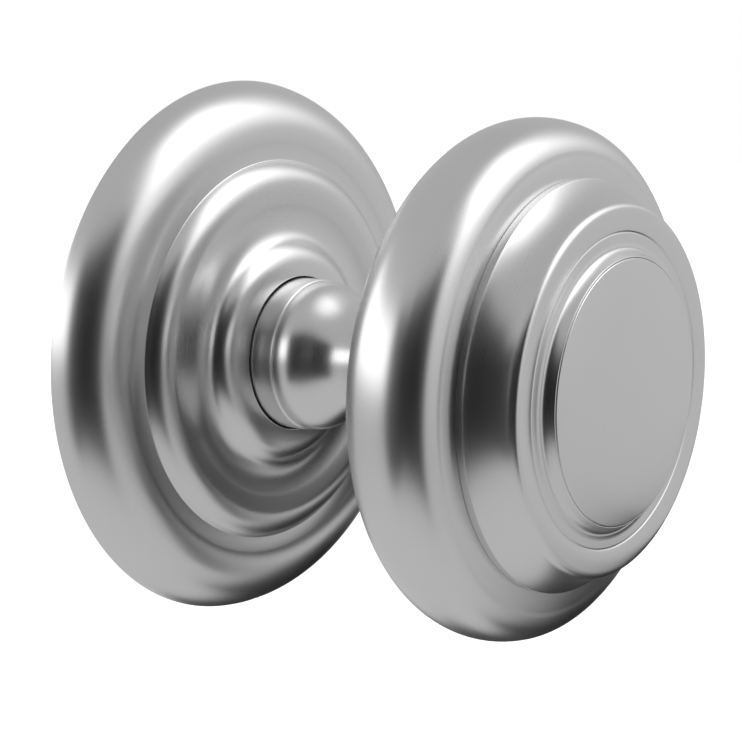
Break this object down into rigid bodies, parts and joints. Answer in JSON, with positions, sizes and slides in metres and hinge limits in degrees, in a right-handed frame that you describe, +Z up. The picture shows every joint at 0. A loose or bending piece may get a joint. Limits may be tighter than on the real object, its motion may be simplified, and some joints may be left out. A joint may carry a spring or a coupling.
{
  "type": "door knob",
  "caption": "Round stepped door knob in satin metal on a stepped round rose, turning against a return spring to work a latch through a square spindle.",
  "frame": {"origin": "centre of the rose on the door face, where the knob's axis meets the door", "axes": "+Z up the door, -Y out of the door along the knob's axis, +X to the right for someone facing the door; +Y runs into the door"},
  "size_m": [0.085, 0.089, 0.085],
  "materials": {
    "satin_metal": "satin plated brass, fine circular grain",
    "plated_steel": "zinc plated, dull",
    "screw_steel": "zinc plated, slightly bright",
    "spring_steel": "oiled dark spring steel",
    "bearing_plastic": "natural nylon"
  },
  "bodies": {
    "rose": {"rose_cover": "satin_metal", "fixing_plate": "plated_steel", "bearing_bush": "bearing_plastic", "neck_ring": "bearing_plastic", "return_spring": "spring_steel", "spring_post": "plated_steel", "stop_pin_left": "plated_steel", "stop_pin_right": "plated_steel", "cover_grub_screw": "screw_steel", "fixing_screw_upper": "screw_steel", "fixing_screw_lower": "screw_steel"},
    "knob": {"knob_shank": "satin_metal", "spring_driver": "plated_steel", "retaining_washer": "plated_steel", "circlip": "spring_steel", "spindle_grub_screw": "screw_steel", "knob_body": "satin_metal", "front_cap": "satin_metal", "clamp_washer": "plated_steel", "clamp_bolt": "screw_steel", "centre_disc": "satin_metal"}
  },
  "joints": [
    {"name": "knob_turn", "type": "hinge", "parent": "rose", "child": "knob", "pos_m": [0, 0, 0], "axis": [0, -1, 0], "range_deg": [-60, 60], "stiffness_Nm_per_rad": 0.3, "deforming": ["return_spring"]}
  ]
}
